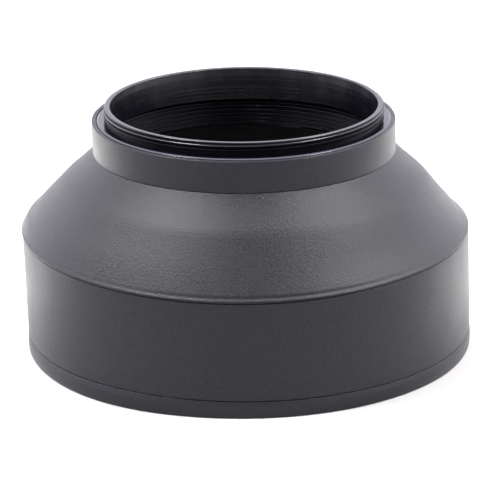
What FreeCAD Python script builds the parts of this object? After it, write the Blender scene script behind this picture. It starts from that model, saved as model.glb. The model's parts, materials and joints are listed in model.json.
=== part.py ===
import FreeCAD, Part
import math
import os

# Folding rubber lens hood on a screw-in aluminium ring. Millimetres.
# Origin: centre of the front rim's face, on the optical axis.
# +Z: along the optical axis, from the front rim towards the lens thread.

# ---- driving dimensions -------------------------------------------------
HOOD_RADIUS = 39.2          # outside of the barrel
HOOD_WALL = 1.6             # rubber of the barrel
CONE_WALL = 1.2             # rubber of the cone, square to its slope
FOLD_WALL = 0.7             # rubber where it folds, square to the slope
RIM_TOP = 3.0               # groove line above the front rim
SHOULDER = 20.2             # groove line between barrel and shoulder bead
CORNER = 21.7               # where the cone's slope would meet the barrel's radius
BEAD_TOP = 22.0             # where the shoulder bead runs into the cone
FOLD_MIDDLE = 30.0          # crease half way up the cone
FOLD_RADIUS = 32.05         # outside of the cone at the crease
FOLD_HEIGHT = 0.8           # band of rubber that stays put at the crease
COLLAR_BOTTOM = 35.3        # where the cone meets the straight collar
COLLAR_TOP = 41.1           # rear end of the rubber
COLLAR_RADIUS = 26.5        # outside of the collar

THREAD_RADIUS = 24.5        # 49 mm lens thread, over its crests
THREAD_PITCH = 0.75
THREAD_ANGLE = 60.0         # between the flanks, degrees
LENS_TURNS = 2              # turns of the lens thread
FILTER_TURNS = 5            # turns of the inside thread
FILTER_MINOR = 24.1         # crests of the inside 49 mm thread
RING_TOP = 43.5             # rear end of the metal ring
FLANGE_TOP = 41.1
FLANGE_BOTTOM = 40.2
RING_BOTTOM = 32.3
BORE_RADIUS = 23.35         # smooth part of the ring's bore
BORE_STEP = 37.7            # where the bore opens up for the inside thread
FLANGE_RADIUS = 25.7
GROOVE_RADIUS = 25.1        # seat that the rubber lip turns on
SLEEVE_RADIUS = 24.9        # front end of the ring, which takes the retaining ring
RETAINER_TOP = 35.9
RETAINER_BOTTOM = 35.0

# ---- clearances ---------------------------------------------------------
TURNING_FIT = 0.06          # rubber lip on the metal seat, on the radius
END_PLAY = 0.12             # rubber lip between flange and retaining ring
EDGE_GAP = 0.2              # round the flange and the retaining ring
PRESS_GAP = 0.01            # retaining ring on its sleeve, on the radius

# ---- small features -----------------------------------------------------
LINE_DEPTH = 0.25           # moulded groove lines
BULGE = 0.12                # how far the rim stands proud of the barrel
SHOULDER_ROUND = 0.9        # radius of the shoulder's corner
COLLAR_ROUND = 0.2          # radius of the collar's outer edge
RIM_WALL = 1.9
RIM_FLAT_INNER = 37.75      # flat face that the hood stands on
RIM_FLAT_OUTER = 38.9
RIM_CORNER_RADIUS = 39.15   # point on the round between flat face and bulge
RIM_CORNER_HEIGHT = 0.45
RELIEF_RADIUS = 23.95       # run-out groove behind the lens thread
THREAD_LEAD_IN = 0.25       # chamfer at the lens thread's start
FILTER_LEAD_IN = 0.4        # chamfer at the inside thread's start
UNDERCUT_RADIUS = 24.6      # run-out groove behind the inside thread
RING_EDGE = 0.15            # chamfers on the metal

# How fast the two halves of the cone widen towards the front.
INNER_GAIN = (FOLD_RADIUS - COLLAR_RADIUS) / (COLLAR_BOTTOM - FOLD_MIDDLE)
OUTER_GAIN = (HOOD_RADIUS - FOLD_RADIUS) / (FOLD_MIDDLE - CORNER)
THREAD_DEPTH = 0.61 * THREAD_PITCH
FOLD_TOP = FOLD_MIDDLE + FOLD_HEIGHT / 2
FOLD_BOTTOM = FOLD_MIDDLE - FOLD_HEIGHT / 2
TAPER_HEIGHT = 1.2          # over which the cone thins towards a fold


def vector(radius, height):
    """A point of a section, in the XZ plane."""
    return FreeCAD.Vector(radius, 0, height)


def revolved(start, *steps):
    """The solid that a closed outline makes turning about Z.

    A step is (radius, height) for a straight side, or a pair of points,
    (on the way, end), for an arc.
    """
    edges = []
    here = vector(*start)
    for step in steps + (start,):
        if isinstance(step[0], tuple):
            middle, end = vector(*step[0]), vector(*step[1])
            edges.append(Part.Arc(here, middle, end).toShape())
        else:
            end = vector(*step)
            edges.append(Part.LineSegment(here, end).toShape())
        here = end
    face = Part.Face(Part.Wire(edges))
    return face.revolve(FreeCAD.Vector(0, 0, 0), FreeCAD.Vector(0, 0, 1), 360)


def cone_gain(height):
    """How fast the cone widens at a height: its inner half is the flatter one."""
    return INNER_GAIN if height > FOLD_MIDDLE else OUTER_GAIN


def cone_outside(height):
    """Radius of the cone's outer surface at a height."""
    return FOLD_RADIUS + cone_gain(height) * (FOLD_MIDDLE - height)


def cone_inside(height, wall):
    """Radius of the cone's inner surface at a height, for a wall thickness."""
    return cone_outside(height) - wall / math.cos(math.atan(cone_gain(height)))


def thread_grooves(crest, root, start, turns, direction):
    """Outline steps of V grooves at the thread's pitch, up (1) or down (-1) from start."""
    half_mouth = abs(crest - root) * math.tan(math.radians(THREAD_ANGLE / 2))
    steps = []
    for turn in range(turns):
        middle = start + direction * THREAD_PITCH * (turn + 0.5)
        steps.append((crest, middle - direction * half_mouth))
        steps.append((root, middle))
        steps.append((crest, middle + direction * half_mouth))
    return steps


def mount_ring():
    """Turned aluminium ring: lens thread, flange, seat for the rubber, inside thread."""
    relief_top = RING_TOP - THREAD_LEAD_IN - LENS_TURNS * THREAD_PITCH
    inside_start = RING_BOTTOM + FILTER_LEAD_IN
    undercut_bottom = inside_start + FILTER_TURNS * THREAD_PITCH
    return revolved(
        (BORE_RADIUS, RING_TOP - RING_EDGE),
        (BORE_RADIUS + RING_EDGE, RING_TOP),
        (THREAD_RADIUS - THREAD_LEAD_IN, RING_TOP),
        (THREAD_RADIUS, RING_TOP - THREAD_LEAD_IN),
        *thread_grooves(THREAD_RADIUS, THREAD_RADIUS - THREAD_DEPTH,
                        RING_TOP - THREAD_LEAD_IN, LENS_TURNS, -1),
        (THREAD_RADIUS, relief_top),
        (RELIEF_RADIUS, relief_top),
        (RELIEF_RADIUS, FLANGE_TOP),
        (FLANGE_RADIUS - RING_EDGE, FLANGE_TOP),
        (FLANGE_RADIUS, FLANGE_TOP - RING_EDGE),
        (FLANGE_RADIUS, FLANGE_BOTTOM),
        (GROOVE_RADIUS, FLANGE_BOTTOM),
        (GROOVE_RADIUS, RETAINER_TOP),
        (SLEEVE_RADIUS, RETAINER_TOP),
        (SLEEVE_RADIUS, RING_BOTTOM),
        (FILTER_MINOR + FILTER_LEAD_IN, RING_BOTTOM),
        (FILTER_MINOR, inside_start),
        *thread_grooves(FILTER_MINOR, THREAD_RADIUS, inside_start, FILTER_TURNS, 1),
        (FILTER_MINOR, undercut_bottom),
        (UNDERCUT_RADIUS, undercut_bottom),
        (UNDERCUT_RADIUS, BORE_STEP),
        (BORE_RADIUS, BORE_STEP),
    )


def retaining_ring():
    """Aluminium ring pressed on the sleeve; it keeps the rubber lip on its seat."""
    inner = SLEEVE_RADIUS + PRESS_GAP
    return revolved(
        (inner, RETAINER_BOTTOM),
        (FLANGE_RADIUS - RING_EDGE, RETAINER_BOTTOM),
        (FLANGE_RADIUS, RETAINER_BOTTOM + RING_EDGE),
        (FLANGE_RADIUS, RETAINER_TOP),
        (inner, RETAINER_TOP),
    )


def rubber_collar():
    """Straight collar, with the inner lip that turns on the metal seat."""
    lip = GROOVE_RADIUS + TURNING_FIT
    pocket = FLANGE_RADIUS + EDGE_GAP
    corner = COLLAR_ROUND * (1 - math.sqrt(0.5))
    return revolved(
        (pocket, COLLAR_BOTTOM),
        (COLLAR_RADIUS, COLLAR_BOTTOM),
        (COLLAR_RADIUS, COLLAR_TOP - COLLAR_ROUND),
        ((COLLAR_RADIUS - corner, COLLAR_TOP - corner),
         (COLLAR_RADIUS - COLLAR_ROUND, COLLAR_TOP)),
        (pocket, COLLAR_TOP),
        (pocket, FLANGE_BOTTOM - END_PLAY),
        (lip, FLANGE_BOTTOM - END_PLAY),
        (lip, RETAINER_TOP + END_PLAY),
        (pocket, RETAINER_TOP + END_PLAY),
    )


def cone_band(bottom, top, top_inside):
    """A stretch of the cone's wall, thinned towards the fold lines at its ends."""
    return revolved(
        (cone_outside(bottom), bottom),
        (cone_outside(top), top),
        (top_inside, top),
        (cone_inside(top - TAPER_HEIGHT, CONE_WALL), top - TAPER_HEIGHT),
        (cone_inside(bottom + TAPER_HEIGHT, CONE_WALL), bottom + TAPER_HEIGHT),
        (cone_inside(bottom, FOLD_WALL), bottom),
    )


def inner_cone():
    """Inner half of the cone; it turns inside out when the hood is half folded."""
    return cone_band(FOLD_TOP, COLLAR_BOTTOM, FLANGE_RADIUS + EDGE_GAP)


def middle_fold():
    """Narrow band at the crease between the two halves of the cone."""
    return revolved(
        (cone_outside(FOLD_BOTTOM), FOLD_BOTTOM),
        (FOLD_RADIUS, FOLD_MIDDLE),
        (cone_outside(FOLD_TOP), FOLD_TOP),
        (cone_inside(FOLD_TOP, FOLD_WALL), FOLD_TOP),
        (cone_inside(FOLD_BOTTOM, FOLD_WALL), FOLD_BOTTOM),
    )


def outer_cone():
    """Outer half of the cone; it turns inside out when the barrel is pushed back."""
    return cone_band(BEAD_TOP, FOLD_BOTTOM, cone_inside(FOLD_BOTTOM, FOLD_WALL))


def shoulder_bead():
    """Rounded bead where the cone turns into the barrel."""
    turn = math.atan(OUTER_GAIN)
    round_start = CORNER - SHOULDER_ROUND * math.tan(turn / 2)

    def on_round(angle):
        return (HOOD_RADIUS - SHOULDER_ROUND * (1 - math.cos(angle)),
                round_start + SHOULDER_ROUND * math.sin(angle))

    return revolved(
        (HOOD_RADIUS - HOOD_WALL, SHOULDER),
        (HOOD_RADIUS - LINE_DEPTH, SHOULDER),
        (HOOD_RADIUS, SHOULDER + LINE_DEPTH),
        on_round(0),
        (on_round(turn / 2), on_round(turn)),
        (cone_outside(BEAD_TOP), BEAD_TOP),
        (cone_inside(BEAD_TOP, FOLD_WALL), BEAD_TOP),
    )


def front_barrel():
    """Straight front section of the rubber, with a groove line at each end."""
    return revolved(
        (HOOD_RADIUS - HOOD_WALL, RIM_TOP),
        (HOOD_RADIUS - LINE_DEPTH, RIM_TOP),
        (HOOD_RADIUS, RIM_TOP + LINE_DEPTH),
        (HOOD_RADIUS, SHOULDER - LINE_DEPTH),
        (HOOD_RADIUS - LINE_DEPTH, SHOULDER),
        (HOOD_RADIUS - HOOD_WALL, SHOULDER),
    )


def front_rim():
    """Thickened lip round the front opening; the hood stands on its flat face."""
    inner = HOOD_RADIUS - RIM_WALL
    corner = RIM_FLAT_INNER - inner
    mid_corner = corner * (1 - math.sqrt(0.5))
    bulge_height = RIM_TOP / 2
    return revolved(
        (inner, corner),
        ((inner + mid_corner, mid_corner), (RIM_FLAT_INNER, 0)),
        (RIM_FLAT_OUTER, 0),
        ((RIM_CORNER_RADIUS, RIM_CORNER_HEIGHT), (HOOD_RADIUS + BULGE, bulge_height)),
        (HOOD_RADIUS, RIM_TOP - LINE_DEPTH),
        (HOOD_RADIUS - LINE_DEPTH, RIM_TOP),
        (inner, RIM_TOP),
    )


SUB_PARTS = (
    mount_ring, retaining_ring, rubber_collar, inner_cone, middle_fold,
    outer_cone, shoulder_bead, front_barrel, front_rim,
)

os.makedirs("parts", exist_ok=True)
for sub_part in SUB_PARTS:
    solid = sub_part()
    solid.exportStep("parts/" + sub_part.__name__ + ".step")
    print(sub_part.__name__, "valid" if solid.isValid() else "NOT VALID", round(solid.Volume), "mm3")
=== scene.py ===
import json
import math

import bmesh
import bpy
from mathutils import Euler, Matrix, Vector


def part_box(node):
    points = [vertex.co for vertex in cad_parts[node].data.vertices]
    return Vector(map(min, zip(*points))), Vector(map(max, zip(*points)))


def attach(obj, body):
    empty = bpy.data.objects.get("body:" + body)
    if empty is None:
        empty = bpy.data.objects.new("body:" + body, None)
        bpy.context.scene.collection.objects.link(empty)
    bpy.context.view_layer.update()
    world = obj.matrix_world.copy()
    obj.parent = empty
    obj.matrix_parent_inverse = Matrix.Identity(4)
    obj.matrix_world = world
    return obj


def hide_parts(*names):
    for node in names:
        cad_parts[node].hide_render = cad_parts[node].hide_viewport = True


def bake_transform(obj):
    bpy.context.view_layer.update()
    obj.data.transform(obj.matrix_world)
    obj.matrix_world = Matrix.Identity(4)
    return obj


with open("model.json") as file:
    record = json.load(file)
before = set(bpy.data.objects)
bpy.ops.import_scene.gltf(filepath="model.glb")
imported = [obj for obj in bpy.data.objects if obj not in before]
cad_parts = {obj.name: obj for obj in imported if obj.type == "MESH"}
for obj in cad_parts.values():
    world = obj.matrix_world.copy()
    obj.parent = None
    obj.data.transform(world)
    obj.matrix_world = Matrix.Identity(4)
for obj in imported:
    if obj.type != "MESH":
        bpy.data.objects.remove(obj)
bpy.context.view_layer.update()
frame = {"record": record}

# Folding rubber lens hood. Metres, +Z along the optical axis towards the lens thread,
# and the side that faces the camera at -Y.
# An outline is a closed list of corners (radius, height, rounding) in a half plane
# through the axis; every piece is that outline turned about +Z.

MM = 0.001
FULL_TURN = 2 * math.pi
COLUMNS = 256               # steps round the axis
ARC_STEPS = 6               # steps round a corner
MERGE = 1e-7                # points closer together than this are one point
SHARP = math.radians(40)    # edges that turn more than this are shaded as edges

# ---- places and sizes from the CAD model ---------------------------------


def top_of(node):
    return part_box(node)[1].z


def bottom_of(node):
    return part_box(node)[0].z


def radius_of(node):
    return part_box(node)[1].x


def mount(name):
    """The record's mount of that name."""
    return next(m for m in frame["record"]["mounts"] if m["name"] == name)


HOOD_RADIUS = radius_of("front_barrel")
RIM_RADIUS = radius_of("front_rim")
RIM_TOP = top_of("front_rim")
SHOULDER = bottom_of("shoulder_bead")
BEAD_TOP = top_of("shoulder_bead")
FOLD_BOTTOM = bottom_of("middle_fold")
FOLD_TOP = top_of("middle_fold")
FOLD_MIDDLE = (FOLD_BOTTOM + FOLD_TOP) / 2
COLLAR_RADIUS = radius_of("rubber_collar")
COLLAR_BOTTOM = bottom_of("rubber_collar")
COLLAR_TOP = top_of("rubber_collar")
FLANGE_RADIUS = radius_of("mount_ring")
RING_BOTTOM = bottom_of("mount_ring")
RING_TOP = top_of("mount_ring")
RETAINER_BOTTOM = bottom_of("retaining_ring")
RETAINER_TOP = top_of("retaining_ring")
THREAD_RADIUS = mount("lens_thread")["dims"]["r_mm"] * MM
FILTER_RADIUS = mount("filter_thread")["dims"]["r_mm"] * MM
FILTER_LENGTH = mount("filter_thread")["dims"]["length_mm"] * MM

# ---- sizes that only the looks need --------------------------------------

CORNER = SHOULDER + 1.5 * MM        # where the cone's slope would meet the barrel's radius
MEETING = FOLD_MIDDLE + 0.35 * MM   # where the cone's two slopes meet
FOLD_SOFTNESS = 0.30 * MM   # how gently they meet
HOLLOW = 0.22 * MM          # of the cone above the crease
SEAM = 0.02 * MM            # last step at an edge where two pieces meet, so shading runs on
SKIN_STEP = 0.13 * MM       # between rows of the cone's skin
CREASE_STEP = 0.1 * MM      # between rows at the crease
BEAD_STEP = 0.07 * MM       # between rows above the shoulder's bead
BARREL_STEPS = 12           # up the barrel's side
HOOD_WALL = 1.6 * MM
RIM_WALL = 1.9 * MM
CONE_WALL = 1.2 * MM
LINE_DEPTH = 0.3 * MM       # groove lines under the shoulder and above the lip
NOTCH = 0.12 * MM           # chamfer at the collar's foot
TURNING_FIT = 0.06 * MM     # rubber lip on the metal seat, on the radius
END_PLAY = 0.12 * MM        # rubber lip between flange and retaining ring
PRESS_GAP = 0.01 * MM       # retaining ring on its sleeve, on the radius

PITCH = 0.75 * MM           # both threads
LENS_TURNS = 2
LENS_THREAD_DEPTH = 0.46 * MM
FILTER_THREAD_DEPTH = 0.4 * MM
LEAD_IN = 0.25 * MM         # chamfer at the lens thread's start
RING_EDGE = 0.06 * MM       # height and rounding of the ring's small edges
FLANGE_TOP = RING_TOP - 2.4 * MM
FLANGE_BOTTOM = FLANGE_TOP - 0.9 * MM
BORE_RADIUS = 23.35 * MM
BORE_STEP = RING_TOP - 5.8 * MM
SEAT_RADIUS = 25.1 * MM
SLEEVE_RADIUS = 24.9 * MM
POCKET_RADIUS = FLANGE_RADIUS + 0.07 * MM
MARGIN = 0.1 * MM           # kept from the bore's edges where its surface is told apart

# ---- how far the soft rubber strays from its drawing ----------------------

SAG = 1.0 * MM              # how much lower the shoulder is at the front than at the sides
LIFT = 0.12 * MM            # of the whole shoulder
LEAN = 0.5 * MM             # of the front face, along +X
LEAN_TOP = 1.3 * SHOULDER   # where the lean ends
KINK = 0.33 * MM            # of the cone's foot, along -X
KINK_HEIGHT = SHOULDER + 4.3 * MM
KINK_SPREAD = 3.3 * MM
BULGE_HEIGHT = SHOULDER + 2.0 * MM  # of the cone's uneven sides
BULGE_SPREAD = 1.1 * MM
BULGE_ANGLE = 1.95          # from the front, both ways
FRONT_LEFT = -0.66          # angle from the front where the foot and lip stray most
FOOT_BULGE = 0.6 * MM
LIP_RISE = 0.25 * MM
VALLEY = SHOULDER + 0.8 * MM        # of the shallow valley above the shoulder's bead
VALLEY_SPREAD = 0.28 * MM
COLLAR_BEND = 2.5 * MM      # stretch of the collar, up to its open end, that bends
COLLAR_DIP = 0.15 * MM      # of that end, at the front
COLLAR_SHIFT = 0.08 * MM    # of that end, along -X
NOTCH_FILL = 0.10 * MM      # how much of the notch is closed away from the front

# ---- the cone's outline -----------------------------------------------------

# How fast the two halves of the cone widen towards the front, where the shoulder sags.
SIDE_GAIN = (HOOD_RADIUS - radius_of("middle_fold")) / (FOLD_BOTTOM - CORNER)
MEETING_RADIUS = HOOD_RADIUS - SIDE_GAIN * (MEETING - CORNER)
OUTER_GAIN = (HOOD_RADIUS - MEETING_RADIUS) / (MEETING - CORNER + SAG)
INNER_GAIN = (MEETING_RADIUS - COLLAR_RADIUS) / (COLLAR_BOTTOM - MEETING)
OUTER_SLOPE = math.atan(OUTER_GAIN)


def cone_radius(height):
    """Outer radius of the cone at a height: two slopes, with a soft crease between.

    The half above the crease is a little hollow, so it is flattest just above the crease.
    """
    down = MEETING - height
    above = -FOLD_SOFTNESS * math.log1p(math.exp(-down / FOLD_SOFTNESS))
    share = -above / (COLLAR_BOTTOM - MEETING)
    hollow = 4 * HOLLOW * share * (1 - share)
    return MEETING_RADIUS + OUTER_GAIN * down + (INNER_GAIN - OUTER_GAIN) * above - hollow


# ---- mesh making ----------------------------------------------------------


def rounded(corners):
    """Points of a closed outline, with each (radius, height, rounding) corner as an arc."""
    points = []
    count = len(corners)
    for index, (radius, height, rounding) in enumerate(corners):
        here = Vector((radius, height))
        if rounding == 0:
            points.append(here)
            continue
        before = Vector(corners[index - 1][:2]) - here
        after = Vector(corners[(index + 1) % count][:2]) - here
        half = before.angle(after) / 2
        middle = (before.normalized() + after.normalized()).normalized()
        centre = here + middle * (rounding / math.sin(half))
        reach = rounding / math.tan(half)
        first = here + before.normalized() * reach - centre
        last = here + after.normalized() * reach - centre
        sweep = first.angle_signed(last)
        for step in range(ARC_STEPS + 1):
            angle = -sweep * step / ARC_STEPS
            turned_corner = Vector((
                first.x * math.cos(angle) - first.y * math.sin(angle),
                first.x * math.sin(angle) + first.y * math.cos(angle),
            ))
            points.append(centre + turned_corner)
    return points


def stretch(start, end, steps):
    """Corners evenly spaced from start to end, both left out, for a side that bends."""
    inner = []
    for step in range(1, steps):
        share = step / steps
        inner.append((
            start[0] + (end[0] - start[0]) * share,
            start[1] + (end[1] - start[1]) * share,
            0,
        ))
    return inner


def fixed_row(radius, height):
    """A row of points at one radius and height all the way round."""
    return lambda angle: (radius, height)


def fixed_rows(corners):
    return [fixed_row(point.x, point.y) for point in rounded(corners)]


def mesh_object(name, rows, closed, field=None):
    """A mesh through rows of points round the axis; a row is a function of the angle.

    Each row has its own seam, and the seams are merged afterwards, so that a helical
    row can meet the row one pitch further on. A field moves each point: it gives the
    point's new radius and height, and how far it shifts along X.
    """
    made = bmesh.new()
    grid = []
    for row in rows:
        line = []
        for column in range(COLUMNS + 1):
            angle = FULL_TURN * column / COLUMNS
            radius, height = row(angle)
            shift = 0
            if field:
                radius, height, shift = field(radius, height, angle)
            line.append(made.verts.new(
                (radius * math.cos(angle) + shift, radius * math.sin(angle), height)))
        grid.append(line)
    pairs = list(zip(grid, grid[1:]))
    if closed:
        pairs.append((grid[-1], grid[0]))
    for lower, upper in pairs:
        for column in range(COLUMNS):
            made.faces.new((
                lower[column], lower[column + 1], upper[column + 1], upper[column]))
    bmesh.ops.remove_doubles(made, verts=made.verts, dist=MERGE)
    bmesh.ops.dissolve_degenerate(made, edges=made.edges, dist=MERGE)
    bmesh.ops.recalc_face_normals(made, faces=made.faces)
    mesh = bpy.data.meshes.new(name)
    made.to_mesh(mesh)
    made.free()
    mesh.shade_smooth()
    mesh.set_sharp_from_angle(angle=SHARP)
    piece = bpy.data.objects.new(name, mesh)
    bpy.context.scene.collection.objects.link(piece)
    return piece


def turned(name, corners, field=None):
    """A closed piece: an outline turned about the axis."""
    return mesh_object(name, fixed_rows(corners), True, field)


# ---- where the soft rubber really is ----------------------------------------


def clamped(value):
    return min(1.0, max(0.0, value))


def smooth_step(value):
    value = clamped(value)
    return value * value * (3 - 2 * value)


def hump(value, width):
    """1 at value 0, falling away smoothly over a width."""
    return math.exp(-(value / width) ** 2)


def from_front(angle):
    """Angle from the hood's front (-Y), positive towards +X."""
    return (angle - math.pi / 2) % FULL_TURN - math.pi


def at_front_left(round_angle):
    """1 at the front left, falling away both ways."""
    return hump(round_angle - FRONT_LEFT, 0.42)


def sideways(height):
    """How far the rubber strays along X at a height."""
    lean = LEAN * (1 - smooth_step(height / LEAN_TOP))
    return lean - KINK * hump(height - KINK_HEIGHT, KINK_SPREAD)


def swollen(height, angle):
    """How far the rubber stands out all round: it has waves, and swells above its foot."""
    softness = 1 - smooth_step((height - BEAD_TOP) / (COLLAR_BOTTOM - BEAD_TOP))
    waves = 0.04 * math.sin(2 * angle + 0.6) + 0.02 * math.sin(5 * angle + 2.0)
    swell = 0.10 * smooth_step(height / (0.5 * SHOULDER)) - 0.06
    return softness * MM * (waves + swell)


def bulging(height, round_angle):
    """How far the cone's sides and the foot's front left stand out."""
    left = 0.42 * hump(round_angle + BULGE_ANGLE, 0.5)
    right = -0.22 * hump(round_angle - BULGE_ANGLE, 0.5)
    sides = (left + right) * MM * hump(height - BULGE_HEIGHT, BULGE_SPREAD)
    at_foot = 1 - smooth_step(height / (0.6 * SHOULDER))
    return sides + FOOT_BULGE * at_front_left(round_angle) * at_foot


def filling(radius, height, round_angle):
    """How much shallower the groove line above the lip is, away from the front."""
    depth = HOOD_RADIUS - radius
    in_line = abs(height - RIM_TOP) < 0.4 * MM and 0 < depth < LINE_DEPTH + 0.01 * MM
    return 0.55 * depth * (1 - hump(round_angle, 0.85)) if in_line else 0


def sinking(radius, height, angle):
    """Depth of the valley above the shoulder's bead: outside only, deepest at the front."""
    depth = 0.03 + 0.08 * hump(from_front(angle) - 0.15, 0.5) + 0.008 * math.sin(9 * angle)
    below_skin = cone_radius(height) - radius
    on_outside = 1 - smooth_step((below_skin - 0.64 * MM) / (0.8 * MM))
    return depth * MM * hump(height - VALLEY, VALLEY_SPREAD) * on_outside


def rising(height, round_angle):
    """How much higher the rubber is than drawn, most of all at the shoulder's sides."""
    up_to_shoulder = smooth_step((height - RIM_TOP) / (SHOULDER - RIM_TOP))
    down_from_meeting = clamped((MEETING - height) / (MEETING - CORNER + SAG))
    at_shoulder = min(up_to_shoulder, down_from_meeting)
    lip = LIP_RISE * at_front_left(round_angle) * hump(height - RIM_TOP, 2 * MM)
    return (LIFT + SAG * math.sin(round_angle) ** 2) * at_shoulder + lip


def rubber_field(radius, height, angle):
    """Where a point of the rubber really is. The valley sinks square to the cone's slope."""
    round_angle = from_front(angle)
    out = swollen(height, angle) + bulging(height, round_angle)
    out += filling(radius, height, round_angle)
    sunk = sinking(radius, height, angle)
    return (
        radius + out - sunk * math.cos(OUTER_SLOPE),
        height + rising(height, round_angle) - sunk * math.sin(OUTER_SLOPE),
        sideways(height),
    )


def collar_field(radius, height, angle):
    """The collar's open end dips at the front, where the flange's edge shows above it.

    The end also sits a little to the left, and the notch at the foot of the collar is
    only open at the front.
    """
    near_end = smooth_step((height - COLLAR_TOP) / COLLAR_BEND + 1)
    dip = COLLAR_DIP * (math.sin(angle) - 0.7)
    in_notch = smooth_step((COLLAR_BOTTOM - height) / NOTCH + 1)
    if radius > COLLAR_RADIUS - 0.2 * MM:
        radius += NOTCH_FILL * in_notch * (1 - hump(from_front(angle), 0.8))
    return radius, height + near_end * dip, -COLLAR_SHIFT * near_end


# ---- the rubber pieces ------------------------------------------------------


def front_rim_piece():
    """Bulging lip round the front opening, on its flat face."""
    inner = HOOD_RADIUS - RIM_WALL
    bulge_bottom = 1.0 * MM
    bulge_top = RIM_TOP - 0.9 * MM
    line_bottom = RIM_TOP - 0.08 * MM
    return turned("rim_lip", [
        (inner, 0, 0.5 * MM),
        (HOOD_RADIUS + 0.05 * MM, 0, 0.3 * MM),
        (RIM_RADIUS, bulge_bottom, 0.8 * MM),
        (RIM_RADIUS, bulge_top, 0.7 * MM),
        (HOOD_RADIUS, line_bottom, 0.04 * MM),
        (HOOD_RADIUS - LINE_DEPTH, RIM_TOP, 0),
        (inner, RIM_TOP, 0.3 * MM),
    ], rubber_field)


def barrel_piece():
    """Straight front section, with a groove line at each end."""
    inner = HOOD_RADIUS - HOOD_WALL
    low = (HOOD_RADIUS, RIM_TOP + 0.17 * MM)
    high = (HOOD_RADIUS, SHOULDER - 0.15 * MM)
    return turned("barrel", [
        (inner, RIM_TOP, 0),
        (HOOD_RADIUS - LINE_DEPTH, RIM_TOP, 0),
        (*low, 0.14 * MM),
        *stretch(low, high, BARREL_STEPS),
        (*high, 0.12 * MM),
        (HOOD_RADIUS - LINE_DEPTH, SHOULDER, 0),
        (inner, SHOULDER, 0),
    ], rubber_field)


def shoulder_piece():
    """Bead above the groove line, and the start of the cone."""
    inner = HOOD_RADIUS - HOOD_WALL
    line_top = SHOULDER + 0.06 * MM
    bead_top = SHOULDER + 0.36 * MM
    cone_start = SHOULDER + 0.62 * MM
    bead_radius = cone_radius(bead_top)
    return turned("shoulder", [
        (inner, SHOULDER, 0),
        (HOOD_RADIUS - LINE_DEPTH, SHOULDER, 0),
        (bead_radius - 0.04 * MM, line_top, 0.05 * MM),
        (bead_radius, bead_top, 0.25 * MM),
        *cone_corners(cone_start, BEAD_TOP, BEAD_STEP),
        (cone_radius(BEAD_TOP) - CONE_WALL, BEAD_TOP, 0),
    ], rubber_field)


def seamed(bottom, top, spacing):
    """Heights from bottom to top, with a very short last step at each end."""
    steps = round((top - bottom) / spacing)
    between = [bottom + (top - bottom) * step / steps for step in range(1, steps)]
    return [bottom, bottom + SEAM, *between, top - SEAM, top]


def cone_corners(bottom, top, spacing):
    return [(cone_radius(height), height, 0) for height in seamed(bottom, top, spacing)]


def cone_skin(name, bottom, top):
    """A stretch of the cone: a sheet on its outer surface, thickened inwards."""
    heights = seamed(bottom, top, SKIN_STEP)
    rows = [fixed_row(cone_radius(height), height) for height in heights]
    piece = mesh_object(name, rows, False, rubber_field)
    solid = piece.modifiers.new("wall", "SOLIDIFY")
    solid.thickness = CONE_WALL
    solid.offset = -1
    solid.use_rim = True
    return piece


def crease_piece():
    """Narrow band at the crease between the two halves of the cone."""
    inward = CONE_WALL * math.cos(OUTER_SLOPE)
    downward = CONE_WALL * math.sin(OUTER_SLOPE)
    return turned("crease_band", [
        *cone_corners(FOLD_BOTTOM, FOLD_TOP, CREASE_STEP),
        (cone_radius(FOLD_TOP) - inward, FOLD_TOP - downward, 0),
        (cone_radius(FOLD_BOTTOM) - inward, FOLD_BOTTOM - downward, 0),
    ], rubber_field)


def collar_piece():
    """Straight collar, with the inner lip that turns on the metal seat."""
    lip = SEAT_RADIUS + TURNING_FIT
    lip_top = FLANGE_BOTTOM - END_PLAY
    lip_bottom = RETAINER_TOP + END_PLAY
    return turned("collar", [
        (POCKET_RADIUS, COLLAR_BOTTOM, 0),
        (COLLAR_RADIUS - NOTCH, COLLAR_BOTTOM, 0),
        (COLLAR_RADIUS, COLLAR_BOTTOM + NOTCH, 0.05 * MM),
        (COLLAR_RADIUS, COLLAR_TOP, 0.12 * MM),
        (POCKET_RADIUS, COLLAR_TOP, 0.02 * MM),
        (POCKET_RADIUS, lip_top, 0),
        (lip, lip_top, 0),
        (lip, lip_bottom, 0),
        (POCKET_RADIUS, lip_bottom, 0),
    ], collar_field)


# ---- the metal pieces --------------------------------------------------------


def thread_rows(crest, root, bottom, top, rows_per_pitch, limit=None):
    """Rows of a thread that winds up to the right, from bottom to top.

    Its crests and roots are rounded. Rows follow the helix and are held at the two ends;
    limit(height) is a radius that the thread stays within, for the chamfer at its start.
    """
    flat = PITCH / 24
    spacing = PITCH / rows_per_pitch
    count = round((top - bottom) / spacing) + rows_per_pitch

    def groove_radius(height, angle):
        phase = (height / PITCH - angle / FULL_TURN) % 1.0 - 0.5
        off_crest = abs(phase) * PITCH
        share = (off_crest - flat) / (PITCH / 2 - 2 * flat)
        radius = crest + (root - crest) * smooth_step(share)
        return radius if limit is None else min(radius, limit(height))

    def row(index):
        start = bottom - PITCH + spacing * index

        def place(angle):
            height = start + PITCH * angle / FULL_TURN
            height = min(top, max(bottom, height))
            return groove_radius(height, angle), height
        return place

    return [row(index) for index in range(count + 1)]


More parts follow.
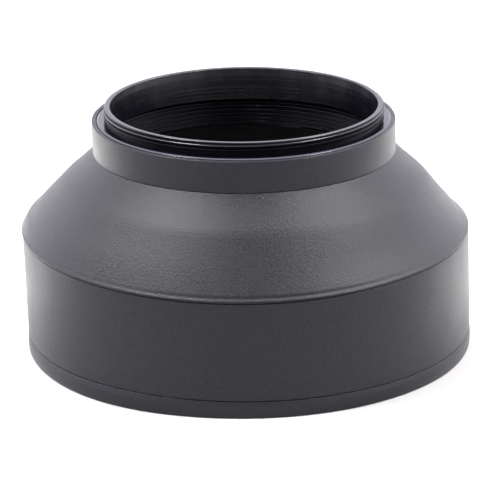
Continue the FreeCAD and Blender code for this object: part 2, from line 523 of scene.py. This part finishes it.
def mount_ring_piece():
    """Turned ring with both threads, its flange and the seat for the rubber."""
    thread_top = RING_TOP - RING_EDGE
    thread_bottom = RING_TOP - LEAD_IN - LENS_TURNS * PITCH
    outer_edge = THREAD_RADIUS - LEAD_IN
    relief_radius = THREAD_RADIUS - 0.55 * MM
    filter_bottom = RING_BOTTOM + 0.2 * MM
    filter_top = RING_BOTTOM + 0.65 * MM + FILTER_LENGTH
    undercut = FILTER_RADIUS + 0.5 * MM

    def chamfer(height):
        return outer_edge + min(LEAD_IN, thread_top - height)

    outside = thread_rows(
        THREAD_RADIUS, THREAD_RADIUS - LENS_THREAD_DEPTH, thread_bottom, thread_top,
        rows_per_pitch=24, limit=chamfer)
    inside = thread_rows(
        FILTER_RADIUS, FILTER_RADIUS + FILTER_THREAD_DEPTH, filter_bottom, filter_top,
        rows_per_pitch=16)
    rim = fixed_rows([
        (outer_edge - RING_EDGE, RING_TOP, 0.08 * MM),
        (BORE_RADIUS, RING_TOP, 0.2 * MM),
        (BORE_RADIUS, BORE_STEP, 0.05 * MM),
        (undercut, BORE_STEP, 0),
        (undercut, filter_top, 0),
    ])
    lower = fixed_rows([
        (FILTER_RADIUS + 0.3 * MM, RING_BOTTOM + 0.1 * MM, 0),
        (FILTER_RADIUS + FILTER_THREAD_DEPTH, RING_BOTTOM, 0.05 * MM),
        (SLEEVE_RADIUS, RING_BOTTOM, 0.1 * MM),
        (SLEEVE_RADIUS, RETAINER_TOP, 0),
        (SEAT_RADIUS, RETAINER_TOP, 0),
        (SEAT_RADIUS, FLANGE_BOTTOM, 0),
        (FLANGE_RADIUS, FLANGE_BOTTOM, 0.08 * MM),
        (FLANGE_RADIUS, FLANGE_TOP - 0.16 * MM, RING_EDGE),
        (FLANGE_RADIUS - 0.3 * MM, FLANGE_TOP, RING_EDGE),
        (relief_radius, FLANGE_TOP, RING_EDGE),
        (relief_radius, thread_bottom, 0),
    ])
    rows = outside + rim + list(reversed(inside)) + lower
    return mesh_object("ring_turned", rows, True)


def retaining_ring_piece():
    """Flat ring pressed on the front end of the mount ring."""
    inner = SLEEVE_RADIUS + PRESS_GAP
    return turned("ring_retainer", [
        (inner, RETAINER_BOTTOM, 0.05 * MM),
        (FLANGE_RADIUS, RETAINER_BOTTOM, 0.15 * MM),
        (FLANGE_RADIUS, RETAINER_TOP, 0.05 * MM),
        (inner, RETAINER_TOP, 0.05 * MM),
    ])


# ---- materials ----------------------------------------------------------------


class Shading:
    """A node material being made, with short ways to add its nodes."""

    def __init__(self, name, **constants):
        self.material = bpy.data.materials.new(name)
        self.material.use_nodes = True
        self.tree = self.material.node_tree
        self.shader = self.tree.nodes["Principled BSDF"]
        for words, value in constants.items():
            socket = words.replace("_", " ").title().replace("Ior", "IOR")
            self.shader.inputs[socket].default_value = value
        self.place = self.node("ShaderNodeTexCoord").outputs["Object"]

    def node(self, kind, **settings):
        made = self.tree.nodes.new(kind)
        for setting, value in settings.items():
            setattr(made, setting, value)
        return made

    def join(self, output, target):
        self.tree.links.new(output, target)

    def noise(self, size, detail=3.0, roughness=0.5, place=None):
        """Noise with features of about a size in metres."""
        made = self.node("ShaderNodeTexNoise")
        made.inputs["Scale"].default_value = 1 / size
        made.inputs["Detail"].default_value = detail
        made.inputs["Roughness"].default_value = roughness
        self.join(place or self.place, made.inputs["Vector"])
        return made.outputs["Fac"]

    def ranged(self, value, low, high, start=0.0, end=1.0):
        """A value's range from start to end, spread over low to high."""
        made = self.node("ShaderNodeMapRange")
        made.inputs["From Min"].default_value = start
        made.inputs["From Max"].default_value = end
        made.inputs["To Min"].default_value = low
        made.inputs["To Max"].default_value = high
        self.join(value, made.inputs["Value"])
        return made.outputs["Result"]

    def ramp(self, value, *stops):
        """A colour ramp: stops are (position, colour)."""
        made = self.node("ShaderNodeValToRGB")
        elements = made.color_ramp.elements
        for element, (position, colour) in zip(elements, stops):
            element.position = position
            element.color = (*colour, 1)
        self.join(value, made.inputs["Fac"])
        return made.outputs["Color"]

    def rings(self, place, size):
        """Noise along one line, such as the rings that turning leaves."""
        made = self.node("ShaderNodeTexNoise", noise_dimensions="1D")
        made.inputs["Scale"].default_value = 1 / size
        made.inputs["Detail"].default_value = 2.0
        self.join(place, made.inputs["W"])
        return made.outputs["Fac"]

    def math(self, operation, first, second):
        made = self.node("ShaderNodeMath", operation=operation)
        for socket, value in zip(made.inputs, (first, second)):
            if isinstance(value, float):
                socket.default_value = value
            else:
                self.join(value, socket)
        return made.outputs["Value"]

    def above(self, value, limit):
        return self.math("GREATER_THAN", value, limit)

    def below(self, value, limit):
        return self.math("LESS_THAN", value, limit)

    def both(self, first, second):
        return self.math("MULTIPLY", first, second)

    def either(self, first, second):
        return self.math("MAXIMUM", first, second)

    def mixed(self, share, colour, other):
        """A colour output, with a share of another, fixed colour mixed in."""
        made = self.node("ShaderNodeMix", data_type="RGBA")
        made.inputs["B"].default_value = (*other, 1)
        self.join(share, made.inputs["Factor"])
        self.join(colour, made.inputs["A"])
        return made.outputs["Result"]

    def bump(self, height, distance, strength, under=None):
        made = self.node("ShaderNodeBump")
        made.inputs["Distance"].default_value = distance
        made.inputs["Strength"].default_value = strength
        self.join(height, made.inputs["Height"])
        if under is not None:
            self.join(under, made.inputs["Normal"])
        return made.outputs["Normal"]

    def use(self, socket, output):
        self.join(output, self.shader.inputs[socket])


def violet_black(value, blue):
    """A near black with a faint violet cast; blue is how much blue it has for its red."""
    return (value, value * 0.9, value * blue)


def satin_rubber():
    """Smooth moulded rubber: a soft sheen, fine specks and faint unevenness."""
    s = Shading("satin_rubber", ior=1.37, sheen_weight=0.1, sheen_roughness=0.4)
    broad = s.noise(9 * MM, 2.0)
    specks = s.noise(0.35 * MM, 4.0, 0.6)
    dark = violet_black(0.0, 2.0)
    light = violet_black(0.006, 2.0)
    s.use("Base Color", s.ramp(specks, (0.35, dark), (0.65, light)))
    s.use("Roughness", s.ranged(broad, 0.36, 0.44, 0.3, 0.7))
    rough = s.bump(specks, 0.05 * MM, 0.7)
    s.use("Normal", s.bump(s.noise(2.5 * MM), 0.03 * MM, 0.4, rough))
    return s.material


def grained_rubber():
    """Matt rubber of the cone: pebbled, with a mottled tone."""
    s = Shading("grained_rubber", ior=1.31, sheen_weight=0.1, sheen_roughness=0.4)
    mottle = s.noise(1.6 * MM, 4.0, 0.6)
    grain = s.noise(0.3 * MM, 3.0, 0.7)
    dark = violet_black(0.0, 1.5)
    light = violet_black(0.008, 1.3)
    s.use("Base Color", s.ramp(grain, (0.38, dark), (0.62, light)))
    s.use("Roughness", s.ranged(grain, 0.31, 0.43, 0.3, 0.7))
    pebbles = s.bump(grain, 0.085 * MM, 1.0)
    s.use("Normal", s.bump(mottle, 0.05 * MM, 0.7, pebbles))
    return s.material


def bore_mask(s, radius, height):
    """1 on the smooth part of the ring's bore."""
    return s.both(s.below(radius, BORE_RADIUS + MARGIN), s.above(height, BORE_STEP + MARGIN))


def recess_mask(s, radius, height):
    """1 where little light gets in: grooves, the second crest and below the bore's step."""
    off_bore = s.either(s.above(radius, BORE_RADIUS + MARGIN), s.below(height, BORE_STEP))
    groove = s.both(
        s.below(radius, THREAD_RADIUS - 0.08 * MM), s.below(height, RING_TOP - 0.2 * MM))
    second_crest = s.both(
        s.below(height, RING_TOP - 0.95 * MM), s.above(height, FLANGE_TOP + 0.05 * MM))
    return s.both(off_bore, s.either(groove, second_crest))


def flange_highlight_mask(s, radius, height):
    """How much painted highlight the flange's top edge gets: some, in patches, as bare bluish
    metal in place of the black.
    """
    at_edge = s.both(
        s.above(radius, FLANGE_RADIUS - 0.32 * MM), s.above(height, FLANGE_TOP - 0.17 * MM))
    return s.both(at_edge, s.ranged(s.noise(2 * MM), 0.5, 0.9, 0.3, 0.7))


def ring_gloss(s, side, round_axis, recessed, in_bore):
    """Specular level, with painted light: painted shade in recesses, less so at the sides, and
    in the bore painted reflection streaks and painted shade towards the right.
    """
    turn = s.node("ShaderNodeVectorMath", operation="NORMALIZE")
    s.join(round_axis, turn.inputs[0])
    # Painted reflection streaks and painted shade on the right side, in the bore only.
    painted_reflection_streaks = s.ranged(s.noise(0.16, 3.0, 0.6, turn.outputs["Vector"]), -0.08, 0.28, 0.3, 0.7)
    painted_shade_right = s.ranged(side, 0.0, -0.32, 0.0, BORE_RADIUS)
    painted_bore_light = s.both(s.math("ADD", painted_reflection_streaks, painted_shade_right), in_bore)
    # Painted shade: the specular level is cut in recesses, most at the front and less at the
    # sides.
    beside = s.both(side, side)
    painted_recess_shade = s.ranged(beside, 0.46, 0.3, (0.6 * THREAD_RADIUS) ** 2, THREAD_RADIUS ** 2)
    gloss = s.math("SUBTRACT", 0.5, s.both(recessed, painted_recess_shade))
    return s.math("ADD", gloss, painted_bore_light)


def anodised_metal():
    """Black anodised aluminium, turned: very fine rings all over, deepest in the bore."""
    s = Shading("anodised_metal", ior=1.5)
    parts = s.node("ShaderNodeSeparateXYZ")
    s.join(s.place, parts.inputs["Vector"])
    side = parts.outputs["X"]
    height = parts.outputs["Z"]
    flat = s.node("ShaderNodeCombineXYZ")
    s.join(side, flat.inputs["X"])
    s.join(parts.outputs["Y"], flat.inputs["Y"])
    round_axis = flat.outputs["Vector"]
    length = s.node("ShaderNodeVectorMath", operation="LENGTH")
    s.join(round_axis, length.inputs[0])
    radius = length.outputs["Value"]

    in_bore = bore_mask(s, radius, height)
    recessed = recess_mask(s, radius, height)
    flange_highlight = flange_highlight_mask(s, radius, height)
    dark = violet_black(0.001, 2.0)
    light = violet_black(0.002, 2.0)
    black = s.ramp(s.noise(3 * MM), (0.3, dark), (0.7, light))
    # Painted highlight: bare bluish metal on the flange's top edge, in patches, brightens the
    # edge's highlight.
    highlight_metal = (0.09, 0.094, 0.108)
    s.use("Base Color", s.mixed(flange_highlight, black, highlight_metal))
    s.use("Metallic", flange_highlight)
    blurred = s.math("ADD", s.ranged(recessed, 0.0, 0.3), s.ranged(in_bore, 0.0, 0.1))
    s.use("Roughness", s.math("ADD", s.ranged(s.noise(5 * MM), 0.14, 0.20, 0.3, 0.7), blurred))
    s.use("Specular IOR Level", ring_gloss(s, side, round_axis, recessed, in_bore))

    across = s.math("ADD", height, radius)
    cuts = s.rings(across, 0.07 * MM)
    lines = s.rings(across, 0.4 * MM)
    deep = s.bump(s.both(cuts, in_bore), 0.027 * MM, 1.0)
    s.use("Normal", s.bump(lines, 0.006 * MM, 0.5, deep))
    return s.material


def pale_floor():
    """Plain pale floor with a barely uneven tone."""
    s = Shading("pale_floor", roughness=0.9)
    darker = (0.375, 0.367, 0.355)
    lighter = (0.395, 0.387, 0.375)
    s.use("Base Color", s.ramp(s.noise(0.4), (0.3, darker), (0.7, lighter)))
    return s.material


# ---- the object -----------------------------------------------------------------


def finish_piece(piece, node, material):
    piece.data.materials.append(material)
    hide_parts(node)


def build_hood():
    satin = satin_rubber()
    grained = grained_rubber()
    metal = anodised_metal()
    riding = (
        (front_rim_piece, "front_rim", "front", satin, "satin_rubber"),
        (barrel_piece, "front_barrel", "front", satin, "satin_rubber"),
        (shoulder_piece, "shoulder_bead", "front", grained, "grained_rubber"),
        (crease_piece, "middle_fold", "middle", grained, "grained_rubber"),
        (collar_piece, "rubber_collar", "collar", satin, "satin_rubber"),
        (mount_ring_piece, "mount_ring", "ring", metal, "anodised_metal"),
        (retaining_ring_piece, "retaining_ring", "ring", metal, "anodised_metal"),
    )
    for make, node, body, material, slot in riding:
        piece = make()
        finish_piece(piece, node, material)
        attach(piece, body)
    outer = cone_skin("cone_outer_skin", BEAD_TOP, FOLD_BOTTOM)
    finish_piece(outer, "outer_cone", grained)
    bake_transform(outer)
    inner = cone_skin("cone_inner_skin", FOLD_TOP, COLLAR_BOTTOM)
    finish_piece(inner, "inner_cone", grained)
    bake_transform(inner)


# ---- the studio -------------------------------------------------------------------


def add_floor():
    mesh = bpy.data.meshes.new("floor")
    half = 5.0
    corners = [(-half, -half, 0), (half, -half, 0), (half, half, 0), (-half, half, 0)]
    mesh.from_pydata(corners, [], [(0, 1, 2, 3)])
    floor = bpy.data.objects.new("floor", mesh)
    bpy.context.scene.collection.objects.link(floor)
    mesh.materials.append(pale_floor())


def add_softbox(name, direction, size, power):
    """A square soft light that faces the hood from a direction; power in watts."""
    distance = 0.9
    data = bpy.data.lights.new(name, "AREA")
    data.shape = "SQUARE"
    data.size = size
    data.energy = power
    lamp = bpy.data.objects.new(name, data)
    bpy.context.scene.collection.objects.link(lamp)
    away = Vector(direction).normalized()
    lamp.location = away * distance
    lamp.rotation_euler = away.to_track_quat("Z", "Y").to_euler()


def add_floor_lamp(name, x, y, half_angle, power):
    """A lamp that lights a soft round patch of floor straight below it, beside the hood.

    Its half angle is in degrees, and its power in watts.
    """
    height = 0.7
    data = bpy.data.lights.new(name, "SPOT")
    data.spot_size = 2 * math.radians(half_angle)
    data.spot_blend = 1.0
    data.shadow_soft_size = 0.02
    data.energy = power
    lamp = bpy.data.objects.new(name, data)
    bpy.context.scene.collection.objects.link(lamp)
    lamp.location = (x, y, height)


def add_lights():
    """Soft boxes and a small lamp on the hood, and patches of floor that it mirrors."""
    add_softbox("softbox_left", (-0.46, -0.06, 0.86), 0.26, 13)
    add_softbox("softbox_right", (0.56, -0.06, 0.82), 0.28, 11.5)
    add_softbox("lamp", (-0.19, -0.70, 0.62), 0.03, 1.0)
    add_floor_lamp("floor_lamp_left", -0.084, 0.022, 3.6, 68)
    add_floor_lamp("floor_lamp_right", 0.084, 0.022, 3.6, 92)
    add_floor_lamp("far_lamp_left", -0.13, 0.10, 6.5, 165)
    add_floor_lamp("far_lamp_right", 0.13, 0.12, 6, 90)


def add_world():
    """Soft white surroundings: dim in front, brightest low down at the sides."""
    world = bpy.data.worlds.new("studio")
    bpy.context.scene.world = world
    world.use_nodes = True
    tree = world.node_tree
    background = tree.nodes["Background"]
    background.inputs["Color"].default_value = (1.0, 0.98, 1.09, 1)
    towards = tree.nodes.new("ShaderNodeTexCoord")
    parts = tree.nodes.new("ShaderNodeSeparateXYZ")
    tree.links.new(towards.outputs["Generated"], parts.inputs["Vector"])

    def eased(value, start, end, low=0.0, high=1.0):
        """low to high, smoothly, as a value goes from start to end."""
        made = tree.nodes.new("ShaderNodeMapRange")
        made.interpolation_type = "SMOOTHSTEP"
        made.inputs["From Min"].default_value = start
        made.inputs["From Max"].default_value = end
        made.inputs["To Min"].default_value = low
        made.inputs["To Max"].default_value = high
        tree.links.new(value, made.inputs["Value"])
        return made.outputs["Result"]

    def joined(operation, first, second):
        made = tree.nodes.new("ShaderNodeMath")
        made.operation = operation
        tree.links.new(first, made.inputs[0])
        tree.links.new(second, made.inputs[1])
        return made.outputs["Value"]

    x, y, z = parts.outputs["X"], parts.outputs["Y"], parts.outputs["Z"]
    front = eased(y, -0.85, 0.2, 0.6, 2.3)
    back = eased(y, 0.2, 0.9, 0.0, -0.7)
    beside = eased(joined("MULTIPLY", x, x), 0.1, 0.4)
    low_down = eased(z, 0.85, 0.25, 0.0, 1.45)
    overall = joined("ADD", front, back)
    glow = joined("MULTIPLY", beside, low_down)
    tree.links.new(joined("ADD", overall, glow), background.inputs["Strength"])


def add_camera():
    """Looks down on the hood from the front, as far off as a short telephoto is."""
    elevation = math.radians(18.67)
    roll = math.radians(-0.64)
    distance = 13.71 * HOOD_RADIUS
    target = Vector((0.0206 * HOOD_RADIUS, 0, 0.420 * HOOD_RADIUS))
    data = bpy.data.cameras.new("camera")
    data.sensor_width = 36
    data.lens = 218.5
    data.clip_start = 0.01
    data.clip_end = 50
    camera = bpy.data.objects.new("camera", data)
    bpy.context.scene.collection.objects.link(camera)
    camera.location = target + distance * Vector((0, -math.cos(elevation), math.sin(elevation)))
    camera.rotation_euler = Euler((math.pi / 2 - elevation, 0, 0))
    camera.rotation_euler.rotate_axis("Z", roll)
    bpy.context.scene.camera = camera


add_camera()
build_hood()
add_floor()
add_world()
add_lights()
bpy.context.scene.view_settings.view_transform = "Standard"
